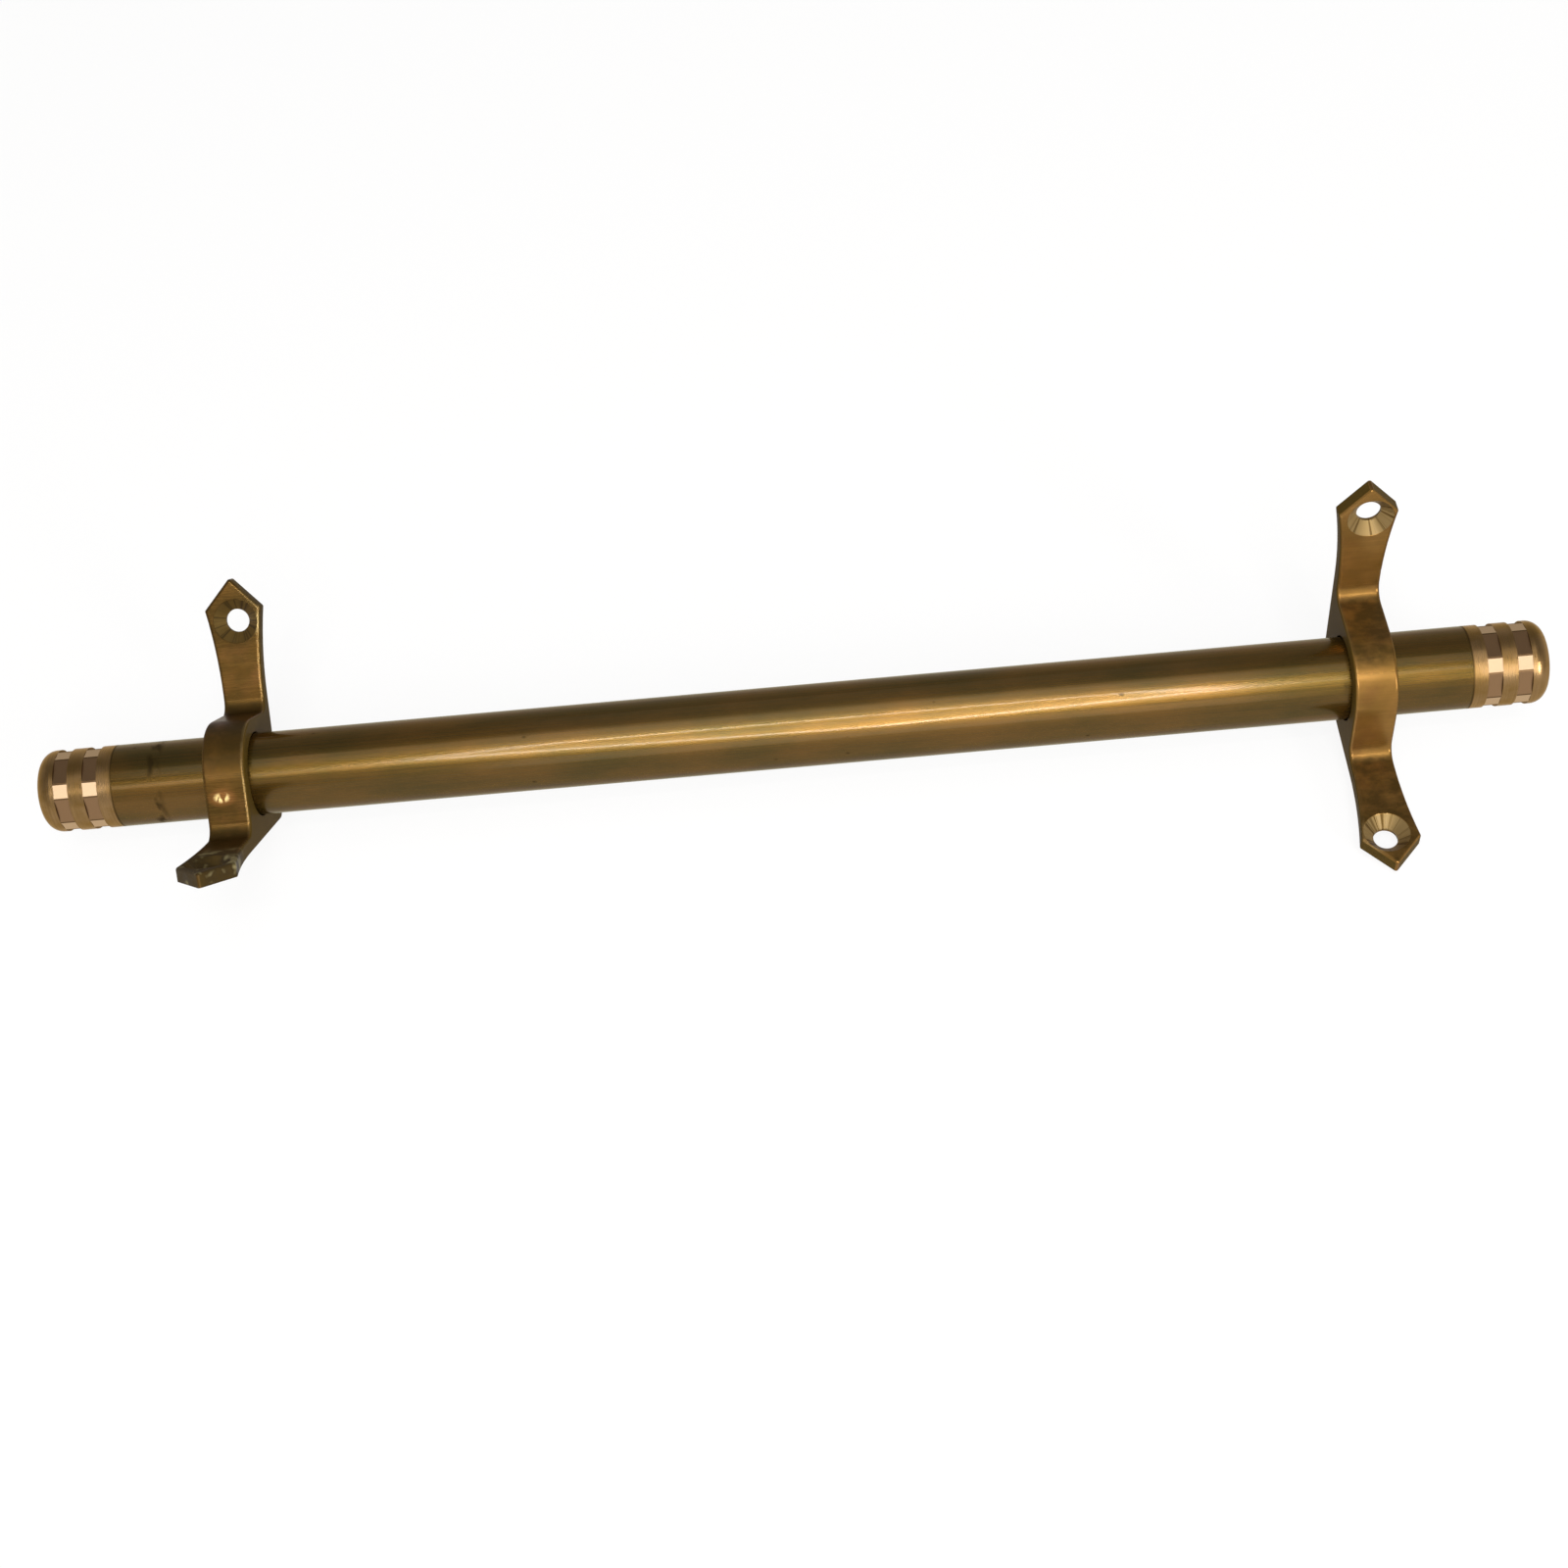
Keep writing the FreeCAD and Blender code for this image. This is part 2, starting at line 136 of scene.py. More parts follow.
def drawn_tube_brass():
    """Drawn brass tube, polished lengthwise long ago and gone brown and dull.

    To the eye: an olive-brown gold with fine lines along the rod. The dull metal spreads the
    light into a soft glow and a film of old lacquer keeps a crisp streak. Small dark specks, a
    smudge beside the left bracket, and residue in the seams where the caps meet the tube."""
    material, tree = new_material("drawn_brass_dulled")
    place = add(tree, "TexCoord").outputs["Object"]
    place_x = add(tree, "SeparateXYZ", {0: place}).outputs["X"]

    draw_map = add(tree, "Mapping", {"Vector": place, "Scale": DRAW_LINE_SIZE})
    draw_lines = add(tree, "TexNoise", {"Vector": draw_map.outputs[0], "Scale": 1.0,
                                        "Detail": 4.0, "Roughness": 0.65}).outputs["Fac"]
    cloud_map = add(tree, "Mapping", {"Vector": place, "Scale": TUBE_CLOUD_SIZE})
    clouds = add(tree, "TexNoise", {"Vector": cloud_map.outputs[0], "Scale": 1.0,
                                    "Detail": 4.0, "Roughness": 0.6}).outputs["Fac"]
    browning = add(tree, "MapRange", {"Value": clouds, "From Min": 0.35,
                                      "From Max": 0.65}).outputs[0]
    skin = add(tree, "Mix", {SHARE: browning, UNDER_COLOUR: linear(TUBE_OLIVE),
                             OVER_COLOUR: linear(TUBE_BROWN)},
               data_type="RGBA").outputs[MIXED_COLOUR]
    line_shade = add(tree, "MapRange", {"Value": draw_lines, "From Min": 0.3, "From Max": 0.7,
                                        "To Max": 0.25}).outputs[0]
    skin = add(tree, "Mix", {SHARE: line_shade, UNDER_COLOUR: skin,
                             OVER_COLOUR: linear(TUBE_LINE)},
               data_type="RGBA").outputs[MIXED_COLOUR]

    speck_map = add(tree, "Mapping", {"Vector": place, "Scale": SPECK_SPACING})
    speck_cells = add(tree, "TexVoronoi", {"Vector": speck_map.outputs[0], "Scale": 1.0})
    speck_dot = add(tree, "MapRange", {"Value": speck_cells.outputs["Distance"], "From Min": 0.03,
                                       "From Max": 0.1, "To Min": 0.6, "To Max": 0.0}).outputs[0]
    speck_pick = add(tree, "SeparateColor", {0: speck_cells.outputs["Color"]}).outputs[0]
    speck_few = add(tree, "Math", {0: speck_pick, 1: SPECKLESS_SHARE},
                    operation="GREATER_THAN").outputs[0]
    specks = add(tree, "Math", {0: speck_dot, 1: speck_few}, operation="MULTIPLY").outputs[0]

    smudge_off = add(tree, "Math", {0: place_x, 1: SMUDGE_PLACE}, operation="SUBTRACT").outputs[0]
    smudge_far = add(tree, "Math", {0: smudge_off}, operation="ABSOLUTE").outputs[0]
    smudge_ring = add(tree, "MapRange", {"Value": smudge_far, "From Min": SMUDGE_CORE,
                                         "From Max": SMUDGE_REACH, "To Min": 1.0, "To Max": 0.0},
                      interpolation_type="SMOOTHSTEP").outputs[0]
    smudge_map = add(tree, "Mapping", {"Vector": place, "Scale": SMUDGE_BLOT_SIZE})
    smudge_noise = add(tree, "TexNoise", {"Vector": smudge_map.outputs[0],
                                          "Scale": 1.0}).outputs["Fac"]
    smudge_gaps = add(tree, "MapRange", {"Value": smudge_noise, "From Min": 0.46, "From Max": 0.6,
                                         "To Max": 0.85}).outputs[0]
    smudge = add(tree, "Math", {0: smudge_ring, 1: smudge_gaps}, operation="MULTIPLY").outputs[0]

    seam_far = add(tree, "Math", {0: place_x}, operation="ABSOLUTE").outputs[0]
    seam = add(tree, "MapRange", {"Value": seam_far,
                                  "From Min": TUBE_HALF_LENGTH - TUBE_SEAM_END,
                                  "From Max": TUBE_HALF_LENGTH - TUBE_SEAM_THICK,
                                  "To Max": 0.7}).outputs[0]
    darkening = add(tree, "Math", {0: specks, 1: smudge}, operation="MAXIMUM").outputs[0]
    darkening = add(tree, "Math", {0: darkening, 1: seam}, operation="MAXIMUM").outputs[0]
    skin = add(tree, "Mix", {SHARE: darkening, UNDER_COLOUR: skin, OVER_COLOUR: linear(TUBE_DIRT)},
               data_type="RGBA").outputs[MIXED_COLOUR]

    rough = add(tree, "MapRange", {"Value": draw_lines, "From Min": 0.3, "From Max": 0.7,
                                   "To Min": 0.22, "To Max": 0.32}).outputs[0]
    rough = add(tree, "Mix", {SHARE: darkening, UNDER_NUMBER: rough,
                              OVER_NUMBER: TUBE_DIRT_ROUGHNESS}).outputs[MIXED_NUMBER]
    relief = add(tree, "Bump", {"Height": draw_lines, "Strength": 0.03,
                                "Distance": 0.01 * MM}).outputs[0]
    lacquer = add(tree, "MapRange", {"Value": darkening, "To Min": LACQUER, "To Max": 0.0}).outputs[0]
    shader = add(tree, "BsdfPrincipled", {"Base Color": skin, "Metallic": 0.9, "Roughness": rough,
                                          "Specular Tint": linear(OLD_BRASS_RIM),
                                          "Coat Weight": lacquer, "Coat Roughness": 0.11,
                                          "Normal": relief})
    add(tree, "OutputMaterial", {"Surface": shader.outputs[0]})
    return material


# ---------------------------------------------------------------- end caps

# The milled facets repeat every 60 degrees round a cap and every 5.7 mm along it.
SQUARE_HEADING = math.radians(44)
HALF_FACET_TURN = math.radians(30)
SQUARE_HALF_ANGLE = math.radians(9.35)
FIRST_BAND = 134.9 * MM
HALF_BAND_PITCH = 2.85 * MM
HALF_BAND = 1.4 * MM
BANDS_END = 143 * MM

# Painted shade in the step where a flat meets a square: its place beside the square, and its width.
STEP_HEADING = SQUARE_HALF_ANGLE + math.radians(1.2)
STEP_CORE = math.radians(0.6)
STEP_REACH = math.radians(1.8)

CAP_GOLD = "84663A"
CAP_BLUSH = "92744E"
CAP_RING = "5E4526"
CAP_FLAT = "886A4C"
# The squares' pale colour is partly fresh polish, partly a painted highlight.
CAP_SQUARE_POLISH_AND_HIGHLIGHT = "B89C7C"
CAP_DIRT_AND_SHADE = "3A2A14"
CAP_FLAT_ROUGHNESS = 0.3
CAP_SQUARE_ROUGHNESS = 0.14
CAP_DIRT_AND_SHADE_ROUGHNESS = 0.55

# Real lathe rings are nearer 0.1 mm apart; drawn coarser, so that they show.
LATHE_RING_SIZE = per_mm(0.35, 40, 40)
CAP_PATCH_SIZE = per_mm(5, 4, 4)
CAP_CORNER_REACH = 0.8 * MM
CAP_SEAM_THICK = 0.05 * MM
CAP_SEAM_END = 0.3 * MM


def turned_cap_brass():
    """Brass bar turned on a lathe, then milled flat in two bands; pinker and fresher than the tube.

    To the eye: fine rings round the cap, small squares painted pale as a highlight on their polish,
    dull pinkish flats between them, painted shade in the steps of the flats and in the corners, and
    thin brown residue in the seam."""
    material, tree = new_material("turned_brass_milled")
    place = add(tree, "TexCoord").outputs["Object"]
    axes = add(tree, "SeparateXYZ", {0: place})
    from_middle = add(tree, "Math", {0: axes.outputs["X"]}, operation="ABSOLUTE").outputs[0]

    ring_map = add(tree, "Mapping", {"Vector": place, "Scale": LATHE_RING_SIZE})
    rings = add(tree, "TexNoise", {"Vector": ring_map.outputs[0], "Scale": 1.0, "Detail": 3.0,
                                   "Roughness": 0.6}).outputs["Fac"]
    patch_map = add(tree, "Mapping", {"Vector": place, "Scale": CAP_PATCH_SIZE})
    patches = add(tree, "TexNoise", {"Vector": patch_map.outputs[0], "Scale": 1.0,
                                     "Detail": 3.0}).outputs["Fac"]
    blush = add(tree, "MapRange", {"Value": patches, "From Min": 0.38,
                                   "From Max": 0.62}).outputs[0]
    skin = add(tree, "Mix", {SHARE: blush, UNDER_COLOUR: linear(CAP_GOLD),
                             OVER_COLOUR: linear(CAP_BLUSH)},
               data_type="RGBA").outputs[MIXED_COLOUR]
    ring_shade = add(tree, "MapRange", {"Value": rings, "From Min": 0.3, "From Max": 0.7,
                                        "To Max": 0.35}).outputs[0]
    skin = add(tree, "Mix", {SHARE: ring_shade, UNDER_COLOUR: skin, OVER_COLOUR: linear(CAP_RING)},
               data_type="RGBA").outputs[MIXED_COLOUR]

    # How far a point is from the nearest band and from the nearest square's middle.
    band_off = add(tree, "Math", {0: from_middle, 1: FIRST_BAND}, operation="SUBTRACT").outputs[0]
    band_far = add(tree, "Math", {0: band_off, 1: HALF_BAND_PITCH},
                   operation="PINGPONG").outputs[0]
    in_pitch = add(tree, "Math", {0: band_far, 1: HALF_BAND}, operation="LESS_THAN").outputs[0]
    before_end = add(tree, "Math", {0: from_middle, 1: BANDS_END},
                     operation="LESS_THAN").outputs[0]
    band = add(tree, "Math", {0: in_pitch, 1: before_end}, operation="MULTIPLY").outputs[0]
    forward = add(tree, "Math", {0: axes.outputs["Y"], 1: -1.0}, operation="MULTIPLY").outputs[0]
    heading = add(tree, "Math", {0: forward, 1: axes.outputs["Z"]}, operation="ARCTAN2").outputs[0]
    turned = add(tree, "Math", {0: heading, 1: SQUARE_HEADING}, operation="SUBTRACT").outputs[0]
    square_far = add(tree, "Math", {0: turned, 1: HALF_FACET_TURN},
                     operation="PINGPONG").outputs[0]
    near_square = add(tree, "Math", {0: square_far, 1: SQUARE_HALF_ANGLE},
                      operation="LESS_THAN").outputs[0]
    square = add(tree, "Math", {0: near_square, 1: band}, operation="MULTIPLY").outputs[0]
    flat = add(tree, "Math", {0: band, 1: square}, operation="SUBTRACT").outputs[0]
    skin = add(tree, "Mix", {SHARE: flat, UNDER_COLOUR: skin, OVER_COLOUR: linear(CAP_FLAT)},
               data_type="RGBA").outputs[MIXED_COLOUR]
    # Painted highlight: the squares are painted pale, on top of their polish, as if they caught the
    # lamp.
    skin = add(tree, "Mix", {SHARE: square, UNDER_COLOUR: skin, OVER_COLOUR: linear(CAP_SQUARE_POLISH_AND_HIGHLIGHT)},
               data_type="RGBA").outputs[MIXED_COLOUR]

    # Painted shade: a dark line in the step beside each square.
    step_off = add(tree, "Math", {0: square_far, 1: STEP_HEADING}, operation="SUBTRACT").outputs[0]
    step_far = add(tree, "Math", {0: step_off}, operation="ABSOLUTE").outputs[0]
    step_shade = add(tree, "MapRange", {"Value": step_far, "From Min": STEP_CORE, "From Max": STEP_REACH,
                                  "To Min": 0.7, "To Max": 0.0}).outputs[0]
    step_shade = add(tree, "Math", {0: step_shade, 1: flat}, operation="MULTIPLY").outputs[0]
    # Painted shade: the AO darkens the corners of the flats and squares.
    corners = add(tree, "AmbientOcclusion", {"Distance": CAP_CORNER_REACH}, samples=12,
                  only_local=True).outputs["AO"]
    corner_shade = add(tree, "MapRange", {"Value": corners, "From Min": 0.5, "From Max": 0.85,
                                   "To Min": 0.65, "To Max": 0.0}).outputs[0]
    seam = add(tree, "MapRange", {"Value": from_middle,
                                  "From Min": TUBE_HALF_LENGTH + CAP_SEAM_THICK,
                                  "From Max": TUBE_HALF_LENGTH + CAP_SEAM_END,
                                  "To Min": 0.7, "To Max": 0.0}).outputs[0]
    # The darkening: residue in the seam, with painted shade in the corners and in the steps.
    darkening = add(tree, "Math", {0: corner_shade, 1: seam}, operation="MAXIMUM").outputs[0]
    darkening = add(tree, "Math", {0: darkening, 1: step_shade}, operation="MAXIMUM").outputs[0]
    skin = add(tree, "Mix", {SHARE: darkening, UNDER_COLOUR: skin, OVER_COLOUR: linear(CAP_DIRT_AND_SHADE)},
               data_type="RGBA").outputs[MIXED_COLOUR]

    rough = add(tree, "MapRange", {"Value": rings, "From Min": 0.3, "From Max": 0.7,
                                   "To Min": 0.22, "To Max": 0.36}).outputs[0]
    for part, roughness in ((flat, CAP_FLAT_ROUGHNESS), (square, CAP_SQUARE_ROUGHNESS),
                            (darkening, CAP_DIRT_AND_SHADE_ROUGHNESS)):
        rough = add(tree, "Mix", {SHARE: part, UNDER_NUMBER: rough,
                                  OVER_NUMBER: roughness}).outputs[MIXED_NUMBER]
    relief = add(tree, "Bump", {"Height": rings, "Strength": 0.08,
                                "Distance": 0.01 * MM}).outputs[0]
    shader = add(tree, "BsdfPrincipled", {"Base Color": skin, "Metallic": 1.0, "Roughness": rough,
                                          "Specular Tint": linear(CLEAN_BRASS_RIM),
                                          "Normal": relief})
    add(tree, "OutputMaterial", {"Surface": shader.outputs[0]})
    return material


# ---------------------------------------------------------------- brackets

# What differs from one bracket to the other. The carpet's rubbing and the painted highlight on the
# edges begin at one place along the rod and are full at the next; the nick, with its painted glint,
# is a place on the front of the saddle.
LEFT_FINISH = {
    "dark_skin": "453214", "warm_skin": "573C18", "shiny": 0.22, "dull": 0.32,
    "rub_and_light_begins": -107.0 * MM, "rub_and_light_full": -105.5 * MM, "edge_wear_and_highlight": "E6C888",
    "fresh_cut": "5E4A26", "dull_cut": "40321A", "hole_shade": 0.75,
    "nick_and_glint": (-108.7 * MM, -10.1 * MM, 5.0 * MM),
}
RIGHT_FINISH = {
    "dark_skin": "755526", "warm_skin": "866131", "shiny": 0.19, "dull": 0.27,
    "rub_and_light_begins": 111.0 * MM, "rub_and_light_full": 109.5 * MM, "edge_wear_and_highlight": "A88A5A",
    "fresh_cut": "806A44", "dull_cut": "4C381A", "hole_shade": 0.2,
    "nick_and_glint": None,
}

RUDDY_CLOUD = "6E4A28"
FILE_LINE = "523D1C"
TARNISH_AND_SHADE = "34270F"
NICK_FLUSH = "8A5A30"
SANDY_SIDE = "46340C"
HOLE_SHADE = "2E220C"
OLD_POLISH = "302410"
POLISH_CRUMB = "726848"

# Real file lines are finer than 0.2 mm; drawn wider, so that they show.
FILE_LINE_SIZE = per_mm(7, 0.45, 0.45)
BRACKET_PATCH_SIZE = per_mm(7, 7, 7)
RUDDY_CLOUD_SIZE = per_mm(4.5, 4.5, 4.5)
RUDDY_CLOUD_SHIFT = (3.0, 5.0, 7.0)
STAIN_SIZE = per_mm(3.5, 2.5, 2.5)
SCRATCH_SIZE = per_mm(0.8, 2.6, 2.6)
CRUST_SIZE = per_mm(3.6, 3.6, 3.6)

HOLLOW_REACH = 4 * MM
EDGE_REACH = 1.0 * MM

# The nick and its painted glint are wider along the rod than across it, so distances along the rod
# count less.
NICK_SQUASH = 0.65
NICK_GLINT_CORE = 0.6 * MM
NICK_GLINT_END = 1.15 * MM
FLUSH_CORE = 0.9 * MM
FLUSH_END = 2.0 * MM

COUNTERSINK_RADIUS = 4.4 * MM
COUNTERSINK_RIM = 0.15 * MM
HOLE_SHADE_REACH = 3.2 * MM
# Noise on a circle of radius 1: about thirty lines in a turn.
SPOKE_SCALE = 5.0

SOIL_CORE = 6.5 * MM
SOIL_END = 11 * MM

TARNISH_AND_SHADE_ROUGHNESS = 0.6
WEAR_AND_HIGHLIGHT_ROUGHNESS = 0.3
SIDE_ROUGHNESS = 0.95
CUT_ROUGHNESS = 0.5
SOIL_ROUGHNESS = 0.65
SIDE_METAL = 0.2
SOIL_METAL = 0.15


def cast_bracket_brass(name, finish, holes, soiled_foot=None):
    """Sand-cast brass, filed and polished by hand on its front, then handled for years.

    To the eye: olive-brown gold with reddish clouds and fine file lines across the strap; edges on
    the carpet's side worn and painted bright as a highlight; rough dark sides as they left the
    sand; dark oxide with painted shade in the bends and on faces that look up; countersinks with
    dark lines like spokes and painted shade round them. A small dent carries a painted glint. A
    foot that stood in old polish and dust is nearly black, with pale crumbs."""
    material, tree = new_material(name)
    coords = add(tree, "TexCoord")
    place = coords.outputs["Object"]

    file_map = add(tree, "Mapping", {"Vector": place, "Scale": FILE_LINE_SIZE})
    file_lines = add(tree, "TexNoise", {"Vector": file_map.outputs[0], "Scale": 1.0, "Detail": 3.0,
                                        "Roughness": 0.6}).outputs["Fac"]
    patch_map = add(tree, "Mapping", {"Vector": place, "Scale": BRACKET_PATCH_SIZE})
    patches = add(tree, "TexNoise", {"Vector": patch_map.outputs[0], "Scale": 1.0, "Detail": 4.0,
                                     "Roughness": 0.6}).outputs["Fac"]
    warm = add(tree, "MapRange", {"Value": patches, "From Min": 0.35, "From Max": 0.65}).outputs[0]
    skin = add(tree, "Mix", {SHARE: warm, UNDER_COLOUR: linear(finish["dark_skin"]),
                             OVER_COLOUR: linear(finish["warm_skin"])},
               data_type="RGBA").outputs[MIXED_COLOUR]
    cloud_map = add(tree, "Mapping", {"Vector": place, "Scale": RUDDY_CLOUD_SIZE,
                                      "Location": RUDDY_CLOUD_SHIFT})
    clouds = add(tree, "TexNoise", {"Vector": cloud_map.outputs[0], "Scale": 1.0,
                                    "Detail": 3.0}).outputs["Fac"]
    ruddy = add(tree, "MapRange", {"Value": clouds, "From Min": 0.5, "From Max": 0.7,
                                   "To Max": 0.45}).outputs[0]
    skin = add(tree, "Mix", {SHARE: ruddy, UNDER_COLOUR: skin, OVER_COLOUR: linear(RUDDY_CLOUD)},
               data_type="RGBA").outputs[MIXED_COLOUR]
    line_shade = add(tree, "MapRange", {"Value": file_lines, "From Min": 0.35, "From Max": 0.7,
                                        "To Max": 0.3}).outputs[0]
    skin = add(tree, "Mix", {SHARE: line_shade, UNDER_COLOUR: skin,
                             OVER_COLOUR: linear(FILE_LINE)},
               data_type="RGBA").outputs[MIXED_COLOUR]

    # Tarnish, with painted shade: the AO darkens the casting where it is hollow, broken up as
    # wiping leaves it.
    hollow_occlusion = add(tree, "AmbientOcclusion", {"Distance": HOLLOW_REACH}, samples=12,
                  only_local=True).outputs["AO"]
    hollow_tarnish_and_shade = add(tree, "MapRange", {"Value": hollow_occlusion, "From Min": 0.5, "From Max": 0.9,
                                    "To Min": 0.8, "To Max": 0.0}).outputs[0]
    stain_map = add(tree, "Mapping", {"Vector": place, "Scale": STAIN_SIZE})
    stains = add(tree, "TexNoise", {"Vector": stain_map.outputs[0], "Scale": 1.0, "Detail": 4.0,
                                    "Roughness": 0.6}).outputs["Fac"]
    stain_break = add(tree, "MapRange", {"Value": stains, "From Min": 0.3, "From Max": 0.6,
                                         "To Min": 0.35, "To Max": 0.95}).outputs[0]
    # More of the darkening lies on the faces that look up.
    facing = add(tree, "SeparateXYZ", {0: coords.outputs["Normal"]})
    upward = add(tree, "MapRange", {"Value": facing.outputs["Z"], "From Min": 0.72,
                                    "From Max": 0.9, "To Max": 0.85}).outputs[0]
    tarnish_and_shade_reach = add(tree, "Math", {0: hollow_tarnish_and_shade, 1: upward}, operation="MAXIMUM").outputs[0]
    tarnish_and_shade = add(tree, "Math", {0: tarnish_and_shade_reach, 1: stain_break}, operation="MULTIPLY").outputs[0]
    # Painted shade with tarnish, in the bends and on the faces that look up.
    skin = add(tree, "Mix", {SHARE: tarnish_and_shade, UNDER_COLOUR: skin, OVER_COLOUR: linear(TARNISH_AND_SHADE)},
               data_type="RGBA").outputs[MIXED_COLOUR]

    # Rays sent into the metal come out again only beside an outward edge. The edges on the carpet's
    # side are worn, and they carry a painted highlight: they are painted bright where the lamps
    # catch them.
    edges = add(tree, "AmbientOcclusion", {"Distance": EDGE_REACH}, samples=12, inside=True,
                only_local=True).outputs["AO"]
    edge = add(tree, "MapRange", {"Value": edges, "From Min": 0.4, "From Max": 0.85,
                                  "To Min": 1.0, "To Max": 0.0}).outputs[0]
    along = add(tree, "SeparateXYZ", {0: place}).outputs["X"]
    # The painted highlight and the wear lie on the side of each bracket toward the rod's middle.
    rubbed_and_lit_side = add(tree, "MapRange", {"Value": along, "From Min": finish["rub_and_light_begins"],
                                    "From Max": finish["rub_and_light_full"]}).outputs[0]
    wear_and_highlight = add(tree, "Math", {0: edge, 1: rubbed_and_lit_side}, operation="MULTIPLY").outputs[0]
    wear_and_highlight = add(tree, "Math", {0: wear_and_highlight, 1: stain_break}, operation="MULTIPLY").outputs[0]
    if finish["nick_and_glint"]:
        nick_x, nick_y, nick_z = finish["nick_and_glint"]
        nick_map = add(tree, "Mapping", {"Vector": place, "Scale": (NICK_SQUASH, 1.0, 1.0)})
        nick_far = add(tree, "VectorMath", {0: nick_map.outputs[0],
                                            1: (NICK_SQUASH * nick_x, nick_y, nick_z)},
                       operation="DISTANCE").outputs["Value"]
        flush = add(tree, "MapRange", {"Value": nick_far, "From Min": FLUSH_CORE,
                                       "From Max": FLUSH_END, "To Min": 0.6,
                                       "To Max": 0.0}).outputs[0]
        skin = add(tree, "Mix", {SHARE: flush, UNDER_COLOUR: skin,
                                 OVER_COLOUR: linear(NICK_FLUSH)},
                   data_type="RGBA").outputs[MIXED_COLOUR]
        # Painted glint: bright scratches in the nick's core.
        scratch_map = add(tree, "Mapping", {"Vector": place, "Scale": SCRATCH_SIZE})
        scratches = add(tree, "TexNoise", {"Vector": scratch_map.outputs[0],
                                           "Scale": 1.0}).outputs["Fac"]
        bright = add(tree, "MapRange", {"Value": scratches, "From Min": 0.45,
                                        "From Max": 0.55}).outputs[0]
        nick_glint = add(tree, "MapRange", {"Value": nick_far, "From Min": NICK_GLINT_CORE,
                                      "From Max": NICK_GLINT_END, "To Min": 1.0,
                                      "To Max": 0.0}).outputs[0]
        nick_glint = add(tree, "Math", {0: nick_glint, 1: bright}, operation="MULTIPLY").outputs[0]
        wear_and_highlight = add(tree, "Math", {0: wear_and_highlight, 1: nick_glint}, operation="MAXIMUM").outputs[0]
    # Painted highlight, with wear: the edges and the nick's core take the pale edge colour.
    skin = add(tree, "Mix", {SHARE: wear_and_highlight, UNDER_COLOUR: skin,
                             OVER_COLOUR: linear(finish["edge_wear_and_highlight"])},
               data_type="RGBA").outputs[MIXED_COLOUR]
    clear_of_wear_and_highlight = add(tree, "MapRange", {"Value": wear_and_highlight, "To Min": 1.0, "To Max": 0.0}).outputs[0]

    # The two sides along the rod and the ends of the feet were never filed.
    sideways = add(tree, "Math", {0: facing.outputs["X"]}, operation="ABSOLUTE").outputs[0]
    side = add(tree, "MapRange", {"Value": sideways, "From Min": 0.62, "From Max": 0.73}).outputs[0]
    skin = add(tree, "Mix", {SHARE: side, UNDER_COLOUR: skin, OVER_COLOUR: linear(SANDY_SIDE)},
               data_type="RGBA").outputs[MIXED_COLOUR]

    rough = add(tree, "MapRange", {"Value": file_lines, "From Min": 0.3, "From Max": 0.7,
                                   "To Min": finish["shiny"],
                                   "To Max": finish["dull"]}).outputs[0]
    for part, roughness in ((tarnish_and_shade, TARNISH_AND_SHADE_ROUGHNESS), (wear_and_highlight, WEAR_AND_HIGHLIGHT_ROUGHNESS),
                            (side, SIDE_ROUGHNESS)):
        rough = add(tree, "Mix", {SHARE: part, UNDER_NUMBER: rough,
                                  OVER_NUMBER: roughness}).outputs[MIXED_NUMBER]

    # Round each hole: how far a point is from the screw's axis, and where it lies round it.
    for hole in holes:
        out = add(tree, "VectorMath", {0: place, 1: hole["pos_m"]},
                  operation="SUBTRACT").outputs[0]
        depth = add(tree, "VectorMath", {0: out, 1: hole["axis"]},
                    operation="DOT_PRODUCT").outputs["Value"]
        lift = add(tree, "VectorMath", {0: hole["axis"], "Scale": depth},
                   operation="SCALE").outputs[0]
        spoke = add(tree, "VectorMath", {0: out, 1: lift}, operation="SUBTRACT").outputs[0]
        radius = add(tree, "VectorMath", {0: spoke}, operation="LENGTH").outputs["Value"]
        cone = add(tree, "MapRange", {"Value": radius,
                                      "From Min": COUNTERSINK_RADIUS - COUNTERSINK_RIM,
                                      "From Max": COUNTERSINK_RADIUS, "To Min": 1.0,
                                      "To Max": 0.0}).outputs[0]
        front = add(tree, "Math", {0: depth, 1: 0.0}, operation="GREATER_THAN").outputs[0]
